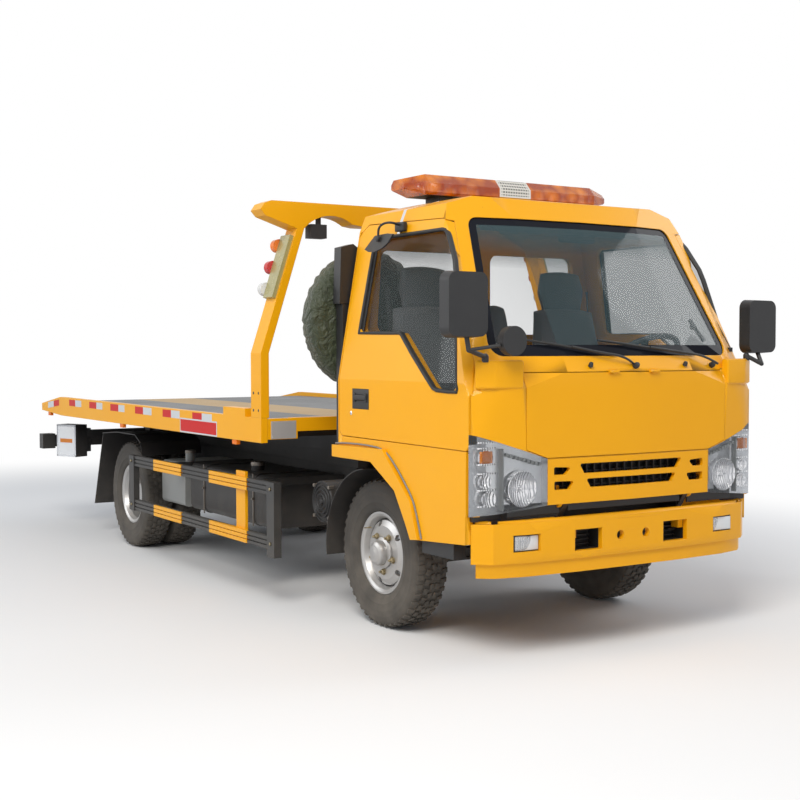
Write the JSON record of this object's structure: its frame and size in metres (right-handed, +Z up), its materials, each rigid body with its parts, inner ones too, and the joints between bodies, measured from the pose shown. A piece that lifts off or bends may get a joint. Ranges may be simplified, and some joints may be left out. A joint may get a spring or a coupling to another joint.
{
  "type": "tow truck",
  "caption": "Light cab-over recovery truck with a tilting, sliding flatbed, a headframe, a winch and a rear wheel lift; cab, doors, steering and bed move.",
  "frame": {"origin": "on the ground at the centre of the overall bounding box", "axes": "+X forward, +Y the truck's left, +Z up"},
  "size_m": [6.212, 2.2018, 2.37],
  "materials": {
    "cab_paint": "gloss",
    "frame_paint": "satin",
    "bed_paint": "gloss",
    "deck_plate": "rolled",
    "bumper_paint": "gloss",
    "cast_parts": "as cast",
    "tyre": "matt",
    "rim_paint": "satin",
    "black_plastic": "matt",
    "lamp": "clear",
    "amber_lens": "clear",
    "glass": "clear",
    "seat_cloth": "woven",
    "cover_cloth": "coated",
    "guard_metal": "ribbed",
    "cylinder_rod": "polished",
    "muffler_steel": "dull",
    "boom_paint": "satin",
    "tank_paint": "satin",
    "cable_steel": "dull"
  },
  "bodies": {
    "chassis": {"frame": "frame_paint", "leaf_springs": "frame_paint", "front_axle": "cast_parts", "rear_axle": "cast_parts", "engine": "cast_parts", "driveline": "cast_parts", "exhaust": "muffler_steel", "fuel_tank": "frame_paint", "battery_box": "frame_paint", "hydraulic_tank": "tank_paint", "air_intake": "black_plastic", "bumper": "bumper_paint", "fog_lamps": "lamp", "front_mudguards": "black_plastic", "rear_mudguards": "black_plastic", "side_guards": "guard_metal", "spare_carrier": "frame_paint", "spare_wheel_cover": "cover_cloth"},
    "knuckle_left": {"knuckle_left": "cast_parts"},
    "knuckle_right": {"knuckle_right": "cast_parts"},
    "tie_rod": {"tie_rod": "frame_paint"},
    "front_wheel_left": {"front_tyre_left": "tyre", "front_rim_left": "rim_paint"},
    "front_wheel_right": {"front_tyre_right": "tyre", "front_rim_right": "rim_paint"},
    "rear_wheels_left": {"rear_tyres_left": "tyre", "rear_rims_left": "rim_paint"},
    "rear_wheels_right": {"rear_tyres_right": "tyre", "rear_rims_right": "rim_paint"},
    "cab": {"cab_shell": "cab_paint", "arch_flares": "cab_paint", "grille": "cab_paint", "headlamps": "lamp", "cab_glass": "glass", "seats": "seat_cloth", "dashboard": "black_plastic", "light_bar": "amber_lens", "mirrors": "black_plastic"},
    "front_lid": {"front_lid": "cab_paint"},
    "door_right": {"door_right": "cab_paint", "door_glass_right": "glass"},
    "door_left": {"door_left": "cab_paint", "door_glass_left": "glass"},
    "tilt_frame": {"tilt_frame": "frame_paint", "rear_work_lamps": "frame_paint"},
    "tilt_barrels": {"tilt_cylinder_barrels": "frame_paint"},
    "tilt_rods": {"tilt_cylinder_rods": "cylinder_rod"},
    "deck": {"deck_floor": "deck_plate", "deck_frame": "frame_paint", "deck_side_rails": "bed_paint", "deck_front_beam": "bed_paint", "headframe": "bed_paint", "deck_lamps": "amber_lens", "winch_frame": "frame_paint"},
    "winch_drum": {"winch_drum": "cable_steel"},
    "lift_boom": {"lift_boom": "boom_paint"},
    "lift_inner_boom": {"lift_inner_boom": "boom_paint"},
    "lift_cross_bar": {"lift_cross_bar": "boom_paint"}
  },
  "joints": [
    {"name": "steer_left", "type": "hinge", "parent": "chassis", "child": "knuckle_left", "pos_m": [1.984, 0.615, 0.39], "axis": [0, 0, 1], "range_deg": [-32, 32]},
    {"name": "steer_right", "type": "hinge", "parent": "chassis", "child": "knuckle_right", "pos_m": [1.984, -0.615, 0.39], "axis": [0, 0, 1], "range_deg": [-32, 32]},
    {"name": "tie_rod_pivot", "type": "hinge", "parent": "knuckle_left", "child": "tie_rod", "pos_m": [1.834, 0.615, 0.3], "axis": [0, 0, 1], "range_deg": [-32, 32]},
    {"name": "front_wheel_left_spin", "type": "hinge", "parent": "knuckle_left", "child": "front_wheel_left", "pos_m": [1.984, 0.708, 0.39], "axis": [0, 1, 0], "continuous": true},
    {"name": "front_wheel_right_spin", "type": "hinge", "parent": "knuckle_right", "child": "front_wheel_right", "pos_m": [1.984, -0.708, 0.39], "axis": [0, 1, 0], "continuous": true},
    {"name": "rear_wheels_left_spin", "type": "hinge", "parent": "chassis", "child": "rear_wheels_left", "pos_m": [-1.376, 0.715, 0.39], "axis": [0, 1, 0], "continuous": true},
    {"name": "rear_wheels_right_spin", "type": "hinge", "parent": "chassis", "child": "rear_wheels_right", "pos_m": [-1.376, -0.715, 0.39], "axis": [0, 1, 0], "continuous": true},
    {"name": "cab_tilt", "type": "hinge", "parent": "chassis", "child": "cab", "pos_m": [2.982, 0, 0.735], "axis": [0, 1, 0], "range_deg": [0, 45]},
    {"name": "front_lid_hinge", "type": "hinge", "parent": "cab", "child": "front_lid", "pos_m": [3.052, 0, 1.348], "axis": [0, -1, 0], "range_deg": [0, 70]},
    {"name": "door_right_hinge", "type": "hinge", "parent": "cab", "child": "door_right", "pos_m": [2.95, -0.911, 1.5], "axis": [0, 0, 1], "range_deg": [0, 68]},
    {"name": "door_left_hinge", "type": "hinge", "parent": "cab", "child": "door_left", "pos_m": [2.95, 0.911, 1.5], "axis": [0, 0, -1], "range_deg": [0, 68]},
    {"name": "bed_tilt", "type": "hinge", "parent": "chassis", "child": "tilt_frame", "pos_m": [-2.316, 0, 0.79], "axis": [0, -1, 0], "range_deg": [0, 16]},
    {"name": "tilt_barrel_pivot", "type": "hinge", "parent": "chassis", "child": "tilt_barrels", "pos_m": [-1.316, 0, 0.575], "axis": [0, -1, 0], "range_deg": [0, 27]},
    {"name": "tilt_rod_slide", "type": "slide", "parent": "tilt_barrels", "child": "tilt_rods", "axis": [0.9814, 0, 0.192], "range_m": [0, 0.162]},
    {"name": "deck_slide", "type": "slide", "parent": "tilt_frame", "child": "deck", "axis": [-1, 0, 0], "range_m": [0, 2.6]},
    {"name": "winch_drum_spin", "type": "hinge", "parent": "deck", "child": "winch_drum", "pos_m": [0.874, 0, 1.175], "axis": [0, 1, 0], "continuous": true},
    {"name": "lift_boom_hinge", "type": "hinge", "parent": "tilt_frame", "child": "lift_boom", "pos_m": [-1.716, 0, 0.687], "axis": [0, -1, 0], "range_deg": [0, 16]},
    {"name": "lift_extend", "type": "slide", "parent": "lift_boom", "child": "lift_inner_boom", "axis": [-1, 0, 0], "range_m": [0, 0.7]},
    {"name": "lift_bar_swivel", "type": "hinge", "parent": "lift_inner_boom", "child": "lift_cross_bar", "pos_m": [-3.056, 0, 0.687], "axis": [0, 0, 1], "range_deg": [-15, 15]}
  ],
  "couplings": [
    {"joint": "steer_right", "follows": "steer_left", "ratio": 1},
    {"joint": "tie_rod_pivot", "follows": "steer_left", "ratio": -1},
    {"joint": "tilt_barrel_pivot", "follows": "bed_tilt", "ratio": 1.678},
    {"joint": "tilt_rod_slide", "follows": "bed_tilt", "m_per_rad": 0.574}
  ]
}
